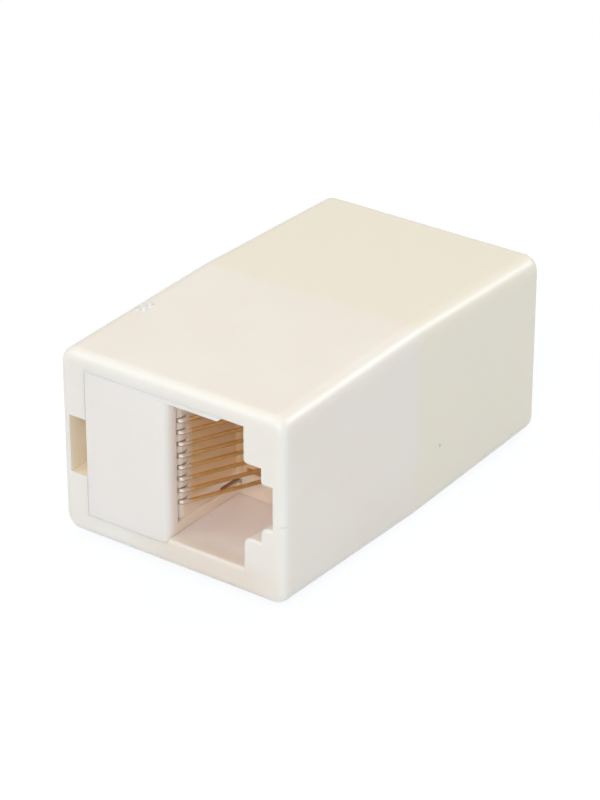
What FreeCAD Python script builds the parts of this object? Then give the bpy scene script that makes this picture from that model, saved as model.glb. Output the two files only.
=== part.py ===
import FreeCAD, Part
import math
import os

import Sketcher

# RJ45 inline coupler: a one-piece sleeve, two end inserts and eight spring contact wires.
# Millimetres. The origin is on the underside crease, at the middle of the body. +Y runs along the
# body towards its rear, the front port faces -Y and +Z is up. The rear half is the front half
# turned half a turn about Z.

SIZES = (
    # the moulded sleeve
    ("body_length", 35.5),
    ("crease_height", 16.9),
    ("end_height", 16.0),
    ("long_edge_radius", 1.4),
    ("end_edge_radius", 0.9),
    ("latch_side_wall", 1.25),
    ("insert_side_wall", 2.55),
    # the port
    ("port_axis_height", 8.7),
    ("port_height", 11.8),
    ("port_depth", 9.05),
    ("contact_wall", 0.35),
    ("shoulder", 6.85),
    ("neck_depth", 1.6),
    ("neck_height", 6.3),
    ("slot_depth", 1.05),
    ("slot_height", 3.6),
    ("lip_thickness", 1.3),
    ("upper_lip_radius", 0.35),
    ("lower_lip_radius", 0.7),
    ("lead_in", 0.3),
    ("ceiling_lead_in", 0.15),
    # the fit of an insert in its pocket
    ("pocket_step", 0.45),
    ("fit_clearance", 0.02),
    ("seam_radius", 0.05),
    # the release window and the snap
    ("window_axis_height", 8.27),
    ("window_width", 1.6),
    ("window_height", 5.0),
    ("window_depth", 2.75),
    ("snap_setback", 4.5),
    ("snap_length", 1.8),
    ("snap_height", 4.0),
    ("snap_rise", 0.5),
    # the insert
    ("lip_radius", 1.1),
    ("flange_thickness", 0.42),
    ("keying_reach", 4.5),
    ("comb_height", 10.0),
    ("comb_recess", 0.2),
    ("notch_depth", 0.6),
    ("notch_height", 0.4),
    ("notch_length", 2.1),
    ("notch_run_on", 0.6),
    ("nose_gap", 0.35),
    ("nose_radius", 0.7),
    ("nose_length", 1.35),
    ("comb_near", 0.5),
    # the contact wires
    ("contact_pitch", 1.016),
    ("wire_diameter", 0.34),
    ("wire_clearance", 0.03),
    ("bend_radius", 0.55),
    ("bend_proud", 0.4),
    ("bend_setback", 0.07),
    ("tip_reach", 3.28),
    ("tip_bury", 0.7),
    ("tip_clearance", 0.4),
)
CONTACTS = 8
WIRE_FLATS = 8

document = FreeCAD.newDocument("rj45_inline_coupler")
sheet = document.addObject("Spreadsheet::Sheet", "Sizes")
for row, (alias, size) in enumerate(SIZES, start=1):
    sheet.set(f"A{row}", str(size))
    sheet.setAlias(f"A{row}", alias)
document.recompute()


def value(alias):
    return float(getattr(sheet, alias))


# Places that several pieces share, as expressions on the sheet.
FACE = "Sizes.body_length / 2"
BACK_WALL = "(Sizes.body_length / 2 - Sizes.port_depth)"
AXIS = "Sizes.port_axis_height"
NECK = "(Sizes.shoulder + Sizes.neck_depth)"
SLOT = f"({NECK} + Sizes.slot_depth)"
HALF_WIDTH = f"({SLOT} + Sizes.latch_side_wall)"
INSERT_SIDE = f"({HALF_WIDTH} - Sizes.insert_side_wall)"
POCKET_SIDE = f"({INSERT_SIDE} + Sizes.fit_clearance)"
PORT_TOP = f"({AXIS} + Sizes.port_height / 2)"
PORT_FLOOR = f"({AXIS} - Sizes.port_height / 2)"
INSERT_TOP = f"({PORT_TOP} + Sizes.flange_thickness)"
POCKET_TOP = f"({INSERT_TOP} + Sizes.fit_clearance)"
POCKET_FLOOR = f"({PORT_FLOOR} - Sizes.pocket_step)"
INSERT_FLOOR = f"({POCKET_FLOOR} + Sizes.fit_clearance)"
PANEL_BACK = f"({FACE} - Sizes.lip_thickness)"
NOSE_FRONT = f"({PANEL_BACK} - Sizes.nose_gap)"
NOSE_BACK = f"({NOSE_FRONT} - Sizes.nose_length)"
COMB_FACE = "(Sizes.contact_wall + Sizes.comb_recess)"
WIRE_RADIUS = "(Sizes.wire_diameter / 2)"
WIRE_ROOM = f"({WIRE_RADIUS} + Sizes.wire_clearance)"

# The wire bends round a centre behind the nose; from one bend to the other it runs straight
# through the middle of the coupler, at the crossing angle to the length of the body.
BEND_IN = f"({COMB_FACE} - Sizes.bend_proud + {WIRE_RADIUS} + Sizes.bend_radius)"
BEND_ALONG = f"({NOSE_FRONT} - Sizes.bend_setback - {WIRE_RADIUS} - Sizes.bend_radius)"
BEND_DISTANCE = f"sqrt({BEND_IN} ^ 2 + {BEND_ALONG} ^ 2)"
CROSSING = f"(atan({BEND_IN} / {BEND_ALONG}) + asin(Sizes.bend_radius / {BEND_DISTANCE}))"


def datum(body, role):
    return [feature for feature in body.Origin.OriginFeatures if feature.Role == role][0]


def new_body(label):
    body = document.addObject("PartDesign::Body", label)
    body.Label = label
    return body


def new_sketch(body, name, role, offset=None):
    """An empty sketch on an origin plane of the body, moved along that plane's normal."""
    sketch = body.newObject("Sketcher::SketchObject", name)
    sketch.AttachmentSupport = [(datum(body, role), "")]
    sketch.MapMode = "FlatFace"
    if offset is not None:
        sketch.setExpression("AttachmentOffset.Base.z", offset)
    return sketch


def place_point(sketch, geometry, end, across, along):
    """Hold one end of a sketch line at a place given by two expressions."""
    for kind, expression in (("DistanceX", across), ("DistanceY", along)):
        constraint = sketch.addConstraint(Sketcher.Constraint(kind, -1, 1, geometry, end, 1.0))
        sketch.setExpression(f"Constraints[{constraint}]", expression)


def outline(sketch, corners):
    """Draw a closed outline whose corners are pairs of expressions."""
    count = len(corners)
    turn = 2 * math.pi / count
    start = [FreeCAD.Vector(math.cos(turn * i), math.sin(turn * i), 0) for i in range(count)]
    for i in range(count):
        sketch.addGeometry(Part.LineSegment(start[i], start[(i + 1) % count]), False)
    for i in range(count):
        sketch.addConstraint(Sketcher.Constraint("Coincident", i, 2, (i + 1) % count, 1))
    for i, (across, along) in enumerate(corners):
        place_point(sketch, i, 1, across, along)


def polygon(body, name, role, corners, offset=None):
    """A sketch on an origin plane that holds one closed outline."""
    sketch = new_sketch(body, name, role, offset)
    outline(sketch, corners)
    return sketch


def rectangle(body, name, role, low, high, offset=None):
    (left, bottom), (right, top) = low, high
    corners = ((left, bottom), (right, bottom), (right, top), (left, top))
    return polygon(body, name, role, corners, offset)


def pad(body, sketch, length, midplane=False, reverse=False):
    feature = body.newObject("PartDesign::Pad", sketch.Name + "_pad")
    feature.Profile = sketch
    feature.Midplane = midplane
    feature.Reversed = reverse
    feature.setExpression("Length", length)
    return feature


def pocket(body, sketch, length, midplane=False):
    feature = body.newObject("PartDesign::Pocket", sketch.Name + "_pocket")
    feature.Profile = sketch
    feature.Midplane = midplane
    feature.setExpression("Length", length)
    return feature


def fillet(body, name, radius, chosen):
    """Round every edge of the body so far that passes the test."""
    document.recompute()
    base = body.Tip
    edges = [f"Edge{i}" for i, edge in enumerate(base.Shape.Edges, start=1) if chosen(edge)]
    feature = body.newObject("PartDesign::Fillet", name)
    feature.Base = (base, edges)
    feature.setExpression("Radius", radius)
    return feature


def row_of_slots(body, feature, name):
    """Repeat one slot upwards at the contact pitch."""
    pattern = body.newObject("PartDesign::LinearPattern", name)
    pattern.Originals = [feature]
    pattern.Direction = (datum(body, "Z_Axis"), [""])
    pattern.setExpression("Length", f"Sizes.contact_pitch * {CONTACTS - 1}")
    pattern.Occurrences = CONTACTS
    body.Tip = pattern
    return pattern


def contact_height(index):
    """Height of one contact, counted from the lowest, as an expression."""
    return f"{AXIS} + Sizes.contact_pitch * {index - (CONTACTS - 1) / 2}"


def runs_along(edge, axis):
    """Whether a straight edge runs within a few degrees of an axis."""
    middle = (edge.FirstParameter + edge.LastParameter) / 2
    return abs(edge.tangentAt(middle).dot(axis)) > 0.99


def on_plane(edge, axis, distance):
    """Whether an edge lies wholly in the plane at a distance along an axis, on either side."""
    places = [vertex.Point.dot(axis) for vertex in edge.Vertexes]
    places.append(edge.CenterOfMass.dot(axis))
    return all(abs(abs(place) - distance) < 1e-4 for place in places)


ALONG_X = FreeCAD.Vector(1, 0, 0)
ALONG_Y = FreeCAD.Vector(0, 1, 0)
ALONG_Z = FreeCAD.Vector(0, 0, 1)


def make_housing():
    """The sleeve: thickest at the crease across its middle, drafted down to both ends."""
    body = new_body("housing")
    sag = "(Sizes.crease_height - Sizes.end_height) / 2"
    shoulder_line = f"Sizes.crease_height - {sag}"
    side = polygon(body, "side_profile", "YZ_Plane", (
        (f"-{FACE}", sag), ("0", "0"), (FACE, sag),
        (FACE, shoulder_line), ("0", "Sizes.crease_height"), (f"-{FACE}", shoulder_line)))
    pad(body, side, f"2 * {HALF_WIDTH}", midplane=True)
    fillet(body, "long_edges", "Sizes.long_edge_radius", lambda edge: runs_along(edge, ALONG_Y))
    half_length = value("body_length") / 2
    fillet(body, "end_edges", "Sizes.end_edge_radius",
           lambda edge: on_plane(edge, ALONG_Y, half_length))
    cuts = housing_cuts(body)
    turned = body.newObject("PartDesign::PolarPattern", "rear_end")
    turned.Originals = cuts
    turned.Axis = (datum(body, "Z_Axis"), [""])
    turned.Angle = 360
    turned.Occurrences = 2
    body.Tip = turned
    round_port_edges(body)
    return body


def housing_cuts(body):
    """Everything that is cut from the front end, and again from the rear."""
    step = "-Sizes.contact_wall + Sizes.fit_clearance"
    insert_pocket = polygon(body, "insert_pocket", "XZ_Plane", (
        (f"-{POCKET_SIDE}", POCKET_FLOOR), (step, POCKET_FLOOR), (step, PORT_FLOOR),
        ("0", PORT_FLOOR), ("0", POCKET_TOP), (f"-{POCKET_SIDE}", POCKET_TOP)), FACE)
    port = rectangle(body, "port_cavity", "XZ_Plane",
                     ("0", PORT_FLOOR), ("Sizes.shoulder", POCKET_TOP), FACE)
    neck_low = f"{AXIS} - Sizes.neck_height / 2"
    neck_high = f"{AXIS} + Sizes.neck_height / 2"
    slot_low = f"{AXIS} - Sizes.slot_height / 2"
    slot_high = f"{AXIS} + Sizes.slot_height / 2"
    latch = polygon(body, "latch_opening", "XZ_Plane", (
        ("0", neck_low), (NECK, neck_low), (NECK, slot_low), (SLOT, slot_low),
        (SLOT, slot_high), (NECK, slot_high), (NECK, neck_high), ("0", neck_high)), FACE)
    catch = rectangle(body, "latch_catch", "XZ_Plane",
                      ("0", neck_low), (SLOT, neck_high), PANEL_BACK)
    window_low = "Sizes.window_axis_height - Sizes.window_height / 2"
    window_high = "Sizes.window_axis_height + Sizes.window_height / 2"
    window = rectangle(body, "release_window", "XZ_Plane",
                       (f"-{POCKET_SIDE} - Sizes.window_width", window_low),
                       ("0", window_high), FACE)
    snap_low = f"{AXIS} - Sizes.snap_height / 2 - Sizes.fit_clearance"
    snap_high = f"{AXIS} + Sizes.snap_height / 2 + Sizes.fit_clearance"
    snap = rectangle(body, "snap_hollow", "XZ_Plane",
                     (f"-{POCKET_SIDE} - Sizes.snap_rise", snap_low), ("0", snap_high),
                     f"{FACE} - Sizes.snap_setback + Sizes.fit_clearance")
    return [
        pocket(body, insert_pocket, "Sizes.body_length - Sizes.port_depth"),
        pocket(body, port, "Sizes.port_depth"),
        pocket(body, latch, "Sizes.lip_thickness"),
        pocket(body, catch, "Sizes.port_depth - Sizes.lip_thickness"),
        pocket(body, window, "Sizes.window_depth"),
        pocket(body, snap, "Sizes.snap_length + 2 * Sizes.fit_clearance"),
    ]


def round_port_edges(body):
    """Round the latch lips, and the lead-in along the port's floor and its latch side."""
    half_length = value("body_length") / 2
    shoulder = value("shoulder")
    neck = shoulder + value("neck_depth")
    slot = neck + value("slot_depth")

    def port_place(edge):
        """How far the middle of an edge lies towards the latch, and above the port's axis."""
        place = edge.CenterOfMass
        return place.x * -math.copysign(1, place.y), place.z - value("port_axis_height")

    def is_lip_corner(edge, side):
        if not runs_along(edge, ALONG_Y) or edge.Length > value("port_depth") + 0.01:
            return False
        across, up = port_place(edge)
        reach = side * up
        at_shoulder = abs(across - shoulder) < 1e-4 and abs(reach - value("neck_height") / 2) < 1e-4
        at_neck = abs(across - neck) < 1e-4 and abs(reach - value("slot_height") / 2) < 1e-4
        return at_shoulder or at_neck

    def is_lead_in(edge):
        if not on_plane(edge, ALONG_Y, half_length):
            return False
        across, up = port_place(edge)
        latch_side = shoulder - 1e-3 < across < slot + 1e-3 and up < value("port_height") / 2
        floor = (runs_along(edge, ALONG_X) and abs(up + value("port_height") / 2) < 1e-4
                 and across > -value("contact_wall"))
        return (latch_side and up > -value("port_height") / 2) or floor

    fillet(body, "upper_lips", "Sizes.upper_lip_radius", lambda edge: is_lip_corner(edge, 1))
    fillet(body, "lower_lips", "Sizes.lower_lip_radius", lambda edge: is_lip_corner(edge, -1))
    fillet(body, "port_lead_in", "Sizes.lead_in", is_lead_in)


def make_insert(label):
    """The moulding that closes one end beside the port and carries that port's contacts."""
    body = new_body(label)
    front = polygon(body, "port_section", "XZ_Plane", (
        (f"-{INSERT_SIDE}", INSERT_FLOOR), ("-Sizes.contact_wall", INSERT_FLOOR),
        ("-Sizes.contact_wall", PORT_TOP), ("Sizes.keying_reach", PORT_TOP),
        ("Sizes.keying_reach + Sizes.flange_thickness", INSERT_TOP),
        (f"-{INSERT_SIDE}", INSERT_TOP)), FACE)
    pad(body, front, "Sizes.port_depth", reverse=True)
    web_floor = f"{PORT_FLOOR} + Sizes.fit_clearance"
    web_face = "-Sizes.fit_clearance / 2"
    web = polygon(body, "web_section", "XZ_Plane", (
        (f"-{INSERT_SIDE}", INSERT_FLOOR), ("-Sizes.contact_wall", INSERT_FLOOR),
        ("-Sizes.contact_wall", web_floor), (web_face, web_floor),
        (web_face, INSERT_TOP), (f"-{INSERT_SIDE}", INSERT_TOP)), BACK_WALL)
    pad(body, web, "Sizes.body_length - 2 * Sizes.port_depth", reverse=True)
    cut_comb(body)
    cut_wire_ways(body)
    add_snap(body)
    round_panel(body)
    return body


def comb_cut(body, name, depth, near, far, middle=AXIS, height="Sizes.comb_height"):
    """Cut into the port side of the insert between two places along it."""
    cut = rectangle(body, name, "XY_Plane", (f"-{depth}", f"-{near}"), ("0", f"-{far}"), middle)
    return pocket(body, cut, height, midplane=True)


def cut_comb(body):
    """The gap behind the panel, the comb's recessed face and rounded nose, and its low notch."""
    wire_back = f"({BEND_ALONG} * tan({CROSSING}) + {WIRE_ROOM} / cos({CROSSING}))"
    comb_cut(body, "bend_gap", wire_back, PANEL_BACK, NOSE_FRONT)
    comb_cut(body, "comb_face", COMB_FACE, NOSE_FRONT, BACK_WALL)
    comb_face = value("contact_wall") + value("comb_recess")
    nose_front = value("body_length") / 2 - value("lip_thickness") - value("nose_gap")

    def is_nose_edge(edge):
        place = edge.CenterOfMass
        return (runs_along(edge, ALONG_Z) and abs(place.x + comb_face) < 1e-4
                and abs(place.y + nose_front) < 1e-4)

    fillet(body, "comb_nose", "Sizes.nose_radius", is_nose_edge)
    comb_cut(body, "low_notch", f"({COMB_FACE} + Sizes.notch_depth)",
             f"({BACK_WALL} + Sizes.notch_length)", f"({BACK_WALL} - Sizes.notch_run_on)",
             f"{AXIS} - Sizes.comb_height / 2 + Sizes.notch_height / 2", "Sizes.notch_height")


def cut_wire_ways(body):
    """Eight ways for the wires, open at the nose, and eight slots for the other port's tips."""
    lowest = contact_height(0)
    half_way = f"{WIRE_ROOM} / cos({CROSSING})"
    run_out = f"{WIRE_ROOM} / sin({CROSSING})"
    way = polygon(body, "wire_way", "XY_Plane", (
        (f"-({PANEL_BACK} * tan({CROSSING}) + {half_way})", f"-{PANEL_BACK}"),
        ("0", f"-{PANEL_BACK}"), ("0", f"-{NOSE_BACK}"),
        (f"-({NOSE_BACK} * tan({CROSSING}) - {half_way})", f"-{NOSE_BACK}"),
        ("0", f"-{run_out}"), ("0", run_out)), lowest)
    row_of_slots(body, pocket(body, way, f"2 * {WIRE_ROOM}", midplane=True), "wire_ways")
    comb = rectangle(body, "tip_slot", "XY_Plane",
                     (f"-Sizes.tip_reach - {WIRE_ROOM}",
                      f"{BACK_WALL} - Sizes.tip_bury - Sizes.tip_clearance"),
                     ("-Sizes.comb_near", BACK_WALL), lowest)
    row_of_slots(body, pocket(body, comb, f"2 * {WIRE_ROOM}", midplane=True), "tip_slots")


def add_snap(body):
    """The wedge on the outer side that snaps into the sleeve wall."""
    near = f"-{FACE} + Sizes.snap_setback"
    wedge = polygon(body, "snap_wedge", "XY_Plane", (
        (f"-{INSERT_SIDE}", near), (f"-{INSERT_SIDE}", f"{near} + Sizes.snap_length"),
        (f"-{INSERT_SIDE} - Sizes.snap_rise", near)), AXIS)
    pad(body, wedge, "Sizes.snap_height", midplane=True)


def round_panel(body):
    """Round the lip beside the contacts, the keyed ceiling's lead-in and the panel's rim."""
    half_length = value("body_length") / 2
    ceiling = value("port_height") / 2

    def on_face(edge):
        return on_plane(edge, ALONG_Y, half_length) and edge.CenterOfMass.y < 0

    def above_axis(edge):
        return edge.CenterOfMass.z - value("port_axis_height")

    def is_lip(edge):
        return (on_face(edge) and runs_along(edge, ALONG_Z)
                and abs(edge.CenterOfMass.x + value("contact_wall")) < 1e-4)

    def is_ceiling(edge):
        return on_face(edge) and runs_along(edge, ALONG_X) and abs(above_axis(edge) - ceiling) < 1e-4

    def is_rim(edge):
        at_top = abs(above_axis(edge) - ceiling - value("flange_thickness")) < 1e-4
        at_side = runs_along(edge, ALONG_Z) and edge.CenterOfMass.x < -value("contact_wall") - 1e-4
        return on_face(edge) and (at_top or at_side)

    fillet(body, "contact_lip", "Sizes.lip_radius", is_lip)
    fillet(body, "ceiling_edge", "Sizes.ceiling_lead_in", is_ceiling)
    fillet(body, "panel_rim", "Sizes.seam_radius", is_rim)


def tangent_point(centre, radius, outside, side):
    """Where a straight run from an outside point meets a bend, on one side of it."""
    reach = outside - centre
    heading = math.atan2(reach.y, reach.x) + side * math.acos(radius / reach.Length)
    return centre + FreeCAD.Vector(math.cos(heading), math.sin(heading), 0) * radius


def wire_route():
    """The centre line of one wire as straight runs and tangent bends, front tip to rear tip."""
    half_length = value("body_length") / 2
    radius = value("bend_radius")
    wire_radius = value("wire_diameter") / 2
    tip = FreeCAD.Vector(value("tip_reach"),
                         value("port_depth") + value("tip_bury") - half_length, 0)
    comb_face = value("contact_wall") + value("comb_recess")
    bend_in = comb_face - value("bend_proud") + wire_radius + radius
    setback = value("lip_thickness") + value("nose_gap") + value("bend_setback")
    centre = FreeCAD.Vector(-bend_in, setback + wire_radius + radius - half_length, 0)
    leg_end = tangent_point(centre, radius, tip, -1)
    run_start = tangent_point(centre, radius, FreeCAD.Vector(0, 0, 0), 1)
    outward = (leg_end - centre) + (run_start - centre)
    nose = centre + outward.normalize() * radius
    return [
        Part.LineSegment(tip, leg_end),
        Part.Arc(leg_end, nose, run_start),
        Part.LineSegment(run_start, -run_start),
        Part.Arc(-run_start, -nose, -leg_end),
        Part.LineSegment(-leg_end, -tip),
    ]


def make_wire(label, index):
    """One gold-plated spring wire, from its tip in the front port to its tip in the rear."""
    body = new_body(label)
    route = new_sketch(body, "route", "XY_Plane")
    path = wire_route()
    for piece in path:
        route.addGeometry(piece, False)
    document.recompute()
    section = body.newObject("Sketcher::SketchObject", "section")
    section.AttachmentSupport = [(route, "Edge1")]
    section.MapMode = "NormalToEdge"
    turns = [360 * (flat + 0.5) / WIRE_FLATS for flat in range(WIRE_FLATS)]
    outline(section, [(f"{WIRE_RADIUS} * cos({turn})", f"{WIRE_RADIUS} * sin({turn})")
                      for turn in turns])
    document.recompute()
    sweep = body.newObject("PartDesign::AdditivePipe", "wire")
    sweep.Profile = section
    sweep.Spine = (route, [f"Edge{i}" for i in range(1, len(path) + 1)])
    body.setExpression("Placement.Base.z", contact_height(index))
    return body


def check(parts):
    """Stop on any failed feature or unsound solid."""
    for item in document.Objects:
        if "Invalid" in item.State or "Error" in item.State:
            raise RuntimeError(f"{item.Label} failed: {item.State}")
    for part in parts:
        shape = part.Shape
        if shape.isNull() or not shape.isValid() or len(shape.Solids) != 1:
            raise RuntimeError(f"{part.Label} is not one sound solid")


def main():
    housing = make_housing()
    front_insert = make_insert("front_insert")
    rear_insert = make_insert("rear_insert")
    rear_insert.Placement = FreeCAD.Placement(
        FreeCAD.Vector(0, 0, 0), FreeCAD.Rotation(ALONG_Z, 180))
    wires = [make_wire(f"contact_wire_{CONTACTS - index}", index) for index in range(CONTACTS)]
    document.recompute()
    parts = [housing, front_insert, rear_insert] + wires
    check(parts)
    os.makedirs("parts", exist_ok=True)
    for part in parts:
        part.Shape.exportStep(f"parts/{part.Label}.step")


main()
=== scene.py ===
import math

import bpy
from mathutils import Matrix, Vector


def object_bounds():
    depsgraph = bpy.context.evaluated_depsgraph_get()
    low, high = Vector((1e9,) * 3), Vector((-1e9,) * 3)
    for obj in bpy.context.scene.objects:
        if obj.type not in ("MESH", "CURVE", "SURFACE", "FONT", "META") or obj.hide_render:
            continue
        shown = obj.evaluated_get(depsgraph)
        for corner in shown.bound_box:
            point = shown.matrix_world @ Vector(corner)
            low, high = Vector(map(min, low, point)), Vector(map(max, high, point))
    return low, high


# RJ45 inline coupler: an ivory moulded sleeve, off-white inserts and gold contact wires on a
# plain pale floor. Metres, in the CAD frame: front port towards -Y, +Z up.

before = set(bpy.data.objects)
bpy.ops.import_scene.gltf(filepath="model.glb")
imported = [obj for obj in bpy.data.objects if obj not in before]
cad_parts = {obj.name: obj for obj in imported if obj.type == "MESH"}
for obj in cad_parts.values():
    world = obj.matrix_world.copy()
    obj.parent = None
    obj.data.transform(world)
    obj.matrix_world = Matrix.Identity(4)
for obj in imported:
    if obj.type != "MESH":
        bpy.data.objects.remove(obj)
cad_low, cad_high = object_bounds()

MM = 0.001
CENTRE = (cad_low + cad_high) / 2

# Camera, by the direction it looks from and its distance to the body.
CAMERA_AZIMUTH = math.radians(35.68)
CAMERA_ELEVATION = math.radians(27.73)
CAMERA_DISTANCE = 250.4 * MM
CAMERA_AIM = CENTRE + Vector((-0.18, -0.64, -0.79)) * MM
CAMERA_LENS = 140.8

# The light from the sides is a little cooler than the light from above.
COOL = (0.9, 0.96, 1.0)
WARM = (1.0, 0.96, 0.895)
WHITE = (1, 1, 1)
WORLD_LEVEL = 0.22       # what the world gives the coupler, where the camera sees 1
REFLECTED_SHARE = 0.35   # how much of the white background a reflection shows

WIRE_NODES = [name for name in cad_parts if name.startswith("contact_wire")]
INSERT_NODES = ["front_insert", "rear_insert"]


def millimetres(*values):
    return tuple(value * MM for value in values)


def srgb(red, green, blue):
    """A linear colour from its 0 to 255 display values."""
    def linear(value):
        value /= 255
        return value / 12.92 if value <= 0.04045 else ((value + 0.055) / 1.055) ** 2.4
    return (linear(red), linear(green), linear(blue), 1.0)


# Places on the coupler. Across is towards a port's latch, along is from the body's middle, and
# each is low, high and soft margin, or where a change starts and ends.
REAR_HALF = millimetres(-0.6, 0.6)
PORT_ACROSS = millimetres(-9.9, 9.6, 0.1)
PORT_HEIGHT = millimetres(2.5, 15.2, 0.1)
PORT_MOUTH = millimetres(17.7, 15.5)
COMB_ACROSS = millimetres(-1.4, 3.6, 0.1)
COMB_ALONG = millimetres(7.6, 14.8, 0.7)
COMB_HEIGHT = millimetres(4.5, 13.9, 0.5)
WINDOW_ACROSS = millimetres(-10.0, -8.1, 0.05)
WINDOW_ALONG = millimetres(14.9, 17.7, 0.1)
WINDOW_HEIGHT = millimetres(5.6, 10.9, 0.1)
SILL_ACROSS = millimetres(-4.5, 11.0, 4.0)
SILL_ALONG = millimetres(15.8, 16.8)
SILL_HEIGHT = millimetres(3.6, 2.6)
NOTCH_ACROSS = millimetres(-1.3, -0.56, 0.02)
NOTCH_ALONG = millimetres(8.0, 11.0, 0.1)
NOTCH_HEIGHT = millimetres(3.65, 4.12, 0.04)
BARE_METAL = millimetres(14.9, 15.3)

# The marks, each a centre and its radii in millimetres.
SPECK = ((10.75, 3.21, 5.33), (0.3, 0.11, 0.24))
HAIRLINE = ((10.55, -17.6, 7.42), (0.45, 0.6, 0.035))
BURR = ((-9.25, -8.9, 16.6), (0.75, 1.3, 0.6))

# The mouldings: ivory, its deeper clouds, the yellower rear half and the warmer tone painted
# deep inside a port as the warm light and shade in there.
HOUSING_IVORY = (srgb(247, 236, 224), srgb(245, 233, 220), srgb(245, 234, 215),
                 srgb(255, 236, 227))
INSERT_IVORY = (srgb(246, 235, 226), srgb(244, 232, 222), srgb(244, 235, 221),
                srgb(250, 229, 209))
# A painted highlight laid on the rounded edges.
PAINTED_EDGE_HIGHLIGHT = srgb(255, 250, 243)
# Painted warm light inside the side window.
WINDOW_PAINTED_WARM_LIGHT = srgb(255, 237, 213)
# Painted shade on the low front rim below a port.
SILL_PAINTED_SHADE = srgb(241, 223, 206)
# Painted reflection: the legs' gold on the plastic behind them.
COMB_PAINTED_GOLD_REFLECTION = srgb(246, 208, 162)
# Painted shade in the low notch.
NOTCH_PAINTED_SHADE = srgb(214, 170, 128)
SPECK_GREY = srgb(120, 112, 106)
HAIRLINE_GREY = srgb(150, 140, 132)
BURR_WHITE = srgb(255, 253, 250)
BURR_GREY = srgb(176, 168, 158)
GOLD = (srgb(250, 217, 158), srgb(243, 205, 142))
NICKEL = srgb(252, 243, 232)
# Painted shade on the wires' undersides.
WIRE_PAINTED_UNDERSHADE = srgb(140, 96, 54)
PAPER = (srgb(224, 231, 240), srgb(230, 237, 246))


class Nodes:
    """A small helper that adds and links shader nodes in one material."""

    def __init__(self, name):
        self.material = bpy.data.materials.new(name)
        self.material.use_nodes = True
        self.tree = self.material.node_tree
        self.tree.nodes.clear()

    def add(self, kind, inputs=None, **settings):
        node = self.tree.nodes.new(kind)
        for key, setting in settings.items():
            setattr(node, key, setting)
        for key, source in (inputs or {}).items():
            socket = node.inputs[key]
            if isinstance(source, bpy.types.NodeSocket):
                self.tree.links.new(source, socket)
            else:
                socket.default_value = source
        return node

    def object_place(self):
        return self.add("ShaderNodeTexCoord").outputs["Object"]

    def noise(self, place, scale, detail=3.0, roughness=0.5):
        node = self.add("ShaderNodeTexNoise", {
            "Vector": place, "Scale": scale, "Detail": detail, "Roughness": roughness})
        return node.outputs["Fac"]

    def span(self, source, low, high, out_low, out_high):
        node = self.add("ShaderNodeMapRange", {
            "Value": source, "From Min": low, "From Max": high,
            "To Min": out_low, "To Max": out_high})
        return node.outputs["Result"]

    def blend(self, factor, first, second):
        node = self.add("ShaderNodeMix", data_type="RGBA")
        for index, source in ((0, factor), (6, first), (7, second)):
            if isinstance(source, bpy.types.NodeSocket):
                self.tree.links.new(source, node.inputs[index])
            else:
                node.inputs[index].default_value = source
        return node.outputs[2]

    def maths(self, operation, first, second=0.0):
        node = self.add("ShaderNodeMath", {0: first, 1: second}, operation=operation)
        return node.outputs[0]

    def product(self, first, *others):
        for other in others:
            first = self.maths("MULTIPLY", first, other)
        return first

    def bump(self, height, distance, strength, normal=None):
        inputs = {"Height": height, "Distance": distance, "Strength": strength}
        if normal is not None:
            inputs["Normal"] = normal
        return self.add("ShaderNodeBump", inputs).outputs["Normal"]

    def within(self, source, low, high, soft):
        """1 between two values, fading to 0 over a soft margin inside them."""
        rise = self.span(source, low, low + soft, 0.0, 1.0)
        fall = self.span(source, high - soft, high, 1.0, 0.0)
        return self.maths("MULTIPLY", rise, fall)

    def ellipsoid(self, place, centre, radii):
        """1 in the core of an ellipsoid, fading to 0 at its skin; both in millimetres."""
        offset = self.add("ShaderNodeVectorMath", {0: place, 1: millimetres(*centre)},
                          operation="SUBTRACT")
        scaled = self.add("ShaderNodeVectorMath",
                          {0: offset.outputs["Vector"], 1: millimetres(*radii)},
                          operation="DIVIDE")
        length = self.add("ShaderNodeVectorMath", {0: scaled.outputs["Vector"]},
                          operation="LENGTH")
        return self.span(length.outputs["Value"], 0.5, 1.0, 1.0, 0.0)

    def finish(self, shader):
        self.add("ShaderNodeOutputMaterial", {"Surface": shader})
        return self.material


def port_axes(nodes, place):
    """Across the port towards its latch, along the body from its middle, and height."""
    axes = nodes.add("ShaderNodeSeparateXYZ", {"Vector": place})
    side = nodes.maths("SIGN", axes.outputs["Y"])
    across = nodes.product(axes.outputs["X"], side, -1.0)
    return across, nodes.maths("ABSOLUTE", axes.outputs["Y"]), axes.outputs["Z"]


def painted_warmth_depth(nodes, place):
    """How deep a place lies in a port, where a warmer tone is painted in as the warm light and
    shade in there.
    """
    across, along, height = port_axes(nodes, place)
    return nodes.product(nodes.span(along, *PORT_MOUTH, 0.0, 1.0),
                         nodes.within(across, *PORT_ACROSS),
                         nodes.within(height, *PORT_HEIGHT))


def painted_gold_reflection_mask(nodes, place):
    """The comb's face and the back wall behind the free legs, where the legs' gold reflection
    is painted onto the plastic.
    """
    across, along, height = port_axes(nodes, place)
    return nodes.product(nodes.within(across, *COMB_ACROSS),
                         nodes.within(height, *COMB_HEIGHT),
                         nodes.within(along, *COMB_ALONG))


def edge_highlight_mask(nodes):
    """1 where the surface turns between two flat sides, 0 on the flat sides: where the painted
    edge highlight goes.
    """
    facing = nodes.add("ShaderNodeSeparateXYZ", {
        "Vector": nodes.add("ShaderNodeNewGeometry").outputs["Normal"]})
    steep = [nodes.maths("ABSOLUTE", facing.outputs[axis]) for axis in "XYZ"]
    largest = nodes.maths("MAXIMUM", steep[0], nodes.maths("MAXIMUM", steep[1], steep[2]))
    return nodes.span(largest, 0.97, 0.8, 0.0, 1.0)


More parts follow.
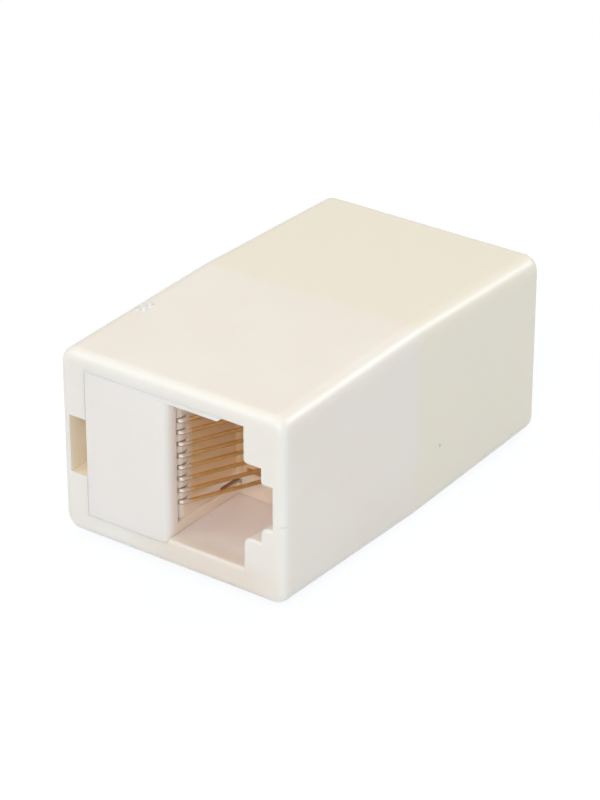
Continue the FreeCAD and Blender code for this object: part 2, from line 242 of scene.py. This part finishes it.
def moulded_plastic(name, ivory, gloss, depth):
    """Translucent satin moulding: faint mottling, slow waviness, a yellower rear half, painted
    warm light and shade deep in the ports and painted highlights on the rounded edges.
    """
    light, deep, rear_tone, painted_port_tone = ivory
    nodes = Nodes(name)
    place = nodes.object_place()
    cloud = nodes.noise(place, 140, detail=2.0)
    fine = nodes.noise(place, 1400, detail=2.0)
    slow = nodes.noise(place, 320, detail=1.0)
    tint = nodes.blend(nodes.span(cloud, 0.3, 0.7, 0.0, 1.0), light, deep)
    axes = nodes.add("ShaderNodeSeparateXYZ", {"Vector": place})
    rear = nodes.span(axes.outputs["Y"], *REAR_HALF, 0.0, 1.0)
    # A yellower tone over the rear half, stepping at the crease.
    tint = nodes.blend(rear, tint, rear_tone)
    # Painted light and shade: a warmer tone deep inside a port.
    tint = nodes.blend(painted_warmth_depth(nodes, place), tint, painted_port_tone)
    # Painted highlight: the rounded edges turn paler.
    tint = nodes.blend(nodes.product(edge_highlight_mask(nodes), 0.4), tint, PAINTED_EDGE_HIGHLIGHT)
    roughness = nodes.span(fine, 0.3, 0.7, gloss - 0.02, gloss + 0.03)
    normal = nodes.bump(slow, 0.05 * MM, 0.15)
    normal = nodes.bump(fine, 0.002 * MM, 0.15, normal)
    shader = nodes.add("ShaderNodeBsdfPrincipled", {
        "Roughness": roughness, "IOR": 1.47,
        "Subsurface Weight": 0.35, "Subsurface Radius": (1.0, 0.9, 0.8),
        "Subsurface Scale": depth})
    return nodes, place, tint, normal, shader


def finish_plastic(nodes, shader, tint, normal):
    nodes.tree.links.new(tint, shader.inputs["Base Color"])
    nodes.tree.links.new(normal, shader.inputs["Normal"])
    return nodes.finish(shader.outputs["BSDF"])


def housing_plastic():
    """The sleeve's ivory, with painted warm light in its window and painted shade on its low
    front rim, and its speck, hairline and burr.
    """
    nodes, place, tint, normal, shader = moulded_plastic(
        "housing_ivory", HOUSING_IVORY, gloss=0.32, depth=0.8 * MM)
    across, along, height = port_axes(nodes, place)
    # Painted warm light inside the window.
    window = nodes.product(nodes.within(across, *WINDOW_ACROSS),
                           nodes.within(along, *WINDOW_ALONG),
                           nodes.within(height, *WINDOW_HEIGHT))
    tint = nodes.blend(window, tint, WINDOW_PAINTED_WARM_LIGHT)
    # Painted shade on the low front rim below the port.
    sill = nodes.product(nodes.span(height, *SILL_HEIGHT, 0.0, 1.0),
                         nodes.span(along, *SILL_ALONG, 0.0, 1.0),
                         nodes.within(across, *SILL_ACROSS))
    tint = nodes.blend(nodes.product(sill, 0.8), tint, SILL_PAINTED_SHADE)
    tint = nodes.blend(nodes.product(nodes.ellipsoid(place, *SPECK), 0.5), tint, SPECK_GREY)
    tint = nodes.blend(nodes.product(nodes.ellipsoid(place, *HAIRLINE), 0.35), tint,
                       HAIRLINE_GREY)
    burr = nodes.ellipsoid(place, *BURR)
    crumbs = nodes.noise(place, 2600, detail=2.0, roughness=0.6)
    raised = nodes.product(burr, nodes.span(crumbs, 0.46, 0.56, 0.0, 1.0))
    torn = nodes.product(burr, nodes.span(crumbs, 0.46, 0.36, 0.0, 1.0))
    tint = nodes.blend(raised, tint, BURR_WHITE)
    tint = nodes.blend(nodes.product(torn, 0.6), tint, BURR_GREY)
    normal = nodes.bump(raised, 0.12 * MM, 0.6, normal)
    return finish_plastic(nodes, shader, tint, normal)


def insert_plastic():
    """The inserts' ivory, with the legs' gold reflection painted on behind them and painted
    shade in the low notch.
    """
    nodes, place, tint, normal, shader = moulded_plastic(
        "insert_ivory", INSERT_IVORY, gloss=0.34, depth=0.5 * MM)
    # Painted reflection of the legs' gold on the plastic behind them.
    tint = nodes.blend(painted_gold_reflection_mask(nodes, place), tint, COMB_PAINTED_GOLD_REFLECTION)
    across, along, height = port_axes(nodes, place)
    # Painted shade in the low notch.
    notch = nodes.product(nodes.within(across, *NOTCH_ACROSS),
                          nodes.within(along, *NOTCH_ALONG),
                          nodes.within(height, *NOTCH_HEIGHT))
    tint = nodes.blend(notch, tint, NOTCH_PAINTED_SHADE)
    return finish_plastic(nodes, shader, tint, normal)


def contact_metal():
    """Drawn spring wire: gold on the free legs, bare round the bends, with painted shade on the
    underside.
    """
    nodes = Nodes("contact_metal")
    place = nodes.object_place()
    axes = nodes.add("ShaderNodeSeparateXYZ", {"Vector": place})
    along = nodes.maths("ABSOLUTE", axes.outputs["Y"])
    wear = nodes.noise(place, 1600, detail=3.0)
    edge = nodes.maths("ADD", along, nodes.span(wear, 0.3, 0.7, -0.15 * MM, 0.15 * MM))
    bare = nodes.span(edge, *BARE_METAL, 0.0, 1.0)
    gold = nodes.blend(nodes.span(wear, 0.3, 0.7, 0.0, 1.0), *GOLD)
    colour = nodes.blend(bare, gold, NICKEL)
    facing = nodes.add("ShaderNodeSeparateXYZ", {
        "Vector": nodes.add("ShaderNodeNewGeometry").outputs["True Normal"]})
    # Painted shade: wire facing downwards turns darker.
    underside_shade = nodes.span(facing.outputs["Z"], 0.1, -0.4, 0.0, 0.8)
    colour = nodes.blend(underside_shade, colour, WIRE_PAINTED_UNDERSHADE)
    drawn = nodes.noise(place, 2400, detail=2.0)
    roughness = nodes.maths("ADD", nodes.span(drawn, 0.3, 0.7, 0.2, 0.25),
                            nodes.product(bare, 0.15))
    shader = nodes.add("ShaderNodeBsdfPrincipled", {
        "Base Color": colour, "Metallic": 1.0, "Roughness": roughness,
        "Normal": nodes.bump(drawn, 0.001 * MM, 0.2)})
    return nodes.finish(shader.outputs["BSDF"])


def floor_paper():
    """White paper that shows as plain white to the camera but keeps a soft shadow."""
    nodes = Nodes("floor_paper")
    path = nodes.add("ShaderNodeLightPath")
    seen = nodes.maths("MAXIMUM", path.outputs["Is Camera Ray"], path.outputs["Is Glossy Ray"])
    seen = nodes.maths("MAXIMUM", seen, path.outputs["Is Transmission Ray"])
    share = nodes.product(seen, 0.8)
    grain = nodes.noise(nodes.object_place(), 900, detail=2.0)
    tint = nodes.blend(grain, *PAPER)
    paper = nodes.add("ShaderNodeBsdfDiffuse", {"Color": tint})
    white = nodes.add("ShaderNodeEmission", {"Color": (1, 1, 1, 1), "Strength": 1.08})
    mixed = nodes.add("ShaderNodeMixShader", {
        0: share, 1: paper.outputs["BSDF"], 2: white.outputs["Emission"]})
    return nodes.finish(mixed.outputs["Shader"])


def dress(object_, material):
    object_.data.materials.clear()
    object_.data.materials.append(material)


def make_floor():
    bpy.ops.mesh.primitive_plane_add(size=3.0, location=(0, 0, cad_low.z))
    floor = bpy.context.active_object
    floor.name = "floor"
    dress(floor, floor_paper())


def make_camera():
    level = math.cos(CAMERA_ELEVATION)
    back = Vector((math.sin(CAMERA_AZIMUTH) * level, -math.cos(CAMERA_AZIMUTH) * level,
                   math.sin(CAMERA_ELEVATION)))
    data = bpy.data.cameras.new("camera")
    data.lens = CAMERA_LENS
    data.clip_start = 10 * MM
    camera = bpy.data.objects.new("camera", data)
    camera.location = CENTRE + back * CAMERA_DISTANCE
    camera.rotation_mode = "QUATERNION"
    camera.rotation_quaternion = (CAMERA_AIM - camera.location).to_track_quat("-Z", "Y")
    bpy.context.scene.collection.objects.link(camera)
    bpy.context.scene.camera = camera


def softbox(name, direction, distance, size, level, colour=WHITE):
    """A square area lamp aimed at the coupler; level is the share of white that it gives."""
    data = bpy.data.lights.new(name, "AREA")
    data.shape = "SQUARE"
    data.size = size
    data.energy = level * (math.pi * distance) ** 2
    data.color = colour
    lamp = bpy.data.objects.new(name, data)
    lamp.location = CENTRE + Vector(direction).normalized() * distance
    lamp.rotation_mode = "QUATERNION"
    lamp.rotation_quaternion = (CENTRE - lamp.location).to_track_quat("-Z", "Y")
    bpy.context.scene.collection.objects.link(lamp)


def light_world():
    """Dim cool light for the coupler, and plain white for the camera."""
    world = bpy.data.worlds.new("studio")
    world.use_nodes = True
    tree = world.node_tree

    def maths(operation, first, second):
        node = tree.nodes.new("ShaderNodeMath")
        node.operation = operation
        for socket, source in zip(node.inputs, (first, second)):
            if isinstance(source, bpy.types.NodeSocket):
                tree.links.new(source, socket)
            else:
                socket.default_value = source
        return node.outputs[0]

    path = tree.nodes.new("ShaderNodeLightPath")
    reflected = maths("MULTIPLY", path.outputs["Is Glossy Ray"], REFLECTED_SHARE)
    seen = maths("MAXIMUM", path.outputs["Is Camera Ray"], reflected)
    seen = maths("MAXIMUM", seen, path.outputs["Is Transmission Ray"])
    level = tree.nodes.new("ShaderNodeMapRange")
    level.inputs["To Min"].default_value = WORLD_LEVEL
    level.inputs["To Max"].default_value = 1.0
    tree.links.new(seen, level.inputs["Value"])
    sky = tree.nodes.new("ShaderNodeMix")
    sky.data_type = "RGBA"
    sky.inputs[6].default_value = (*COOL, 1.0)
    sky.inputs[7].default_value = (*WHITE, 1.0)
    tree.links.new(seen, sky.inputs[0])
    background = tree.nodes["Background"]
    tree.links.new(sky.outputs[2], background.inputs["Color"])
    tree.links.new(level.outputs["Result"], background.inputs["Strength"])
    bpy.context.scene.world = world


def make_light():
    softbox("overhead", (-0.2, 0.2, 1.0), distance=0.7, size=0.7, level=0.42, colour=WARM)
    softbox("left", (-0.75, -0.85, 0.95), distance=0.9, size=0.5, level=0.21, colour=COOL)
    softbox("camera_side", (0.44, -0.86, 0.62), distance=0.8, size=0.3, level=0.49, colour=COOL)
    softbox("rear_right", (0.5, 0.75, 0.55), distance=0.9, size=0.3, level=0.25)
    light_world()


def dress_coupler():
    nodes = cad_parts
    dress(nodes["housing"], housing_plastic())
    insert = insert_plastic()
    for name in INSERT_NODES:
        dress(nodes[name], insert)
    metal = contact_metal()
    for name in WIRE_NODES:
        dress(nodes[name], metal)


dress_coupler()
make_floor()
make_camera()
make_light()
bpy.context.scene.view_settings.view_transform = "Standard"
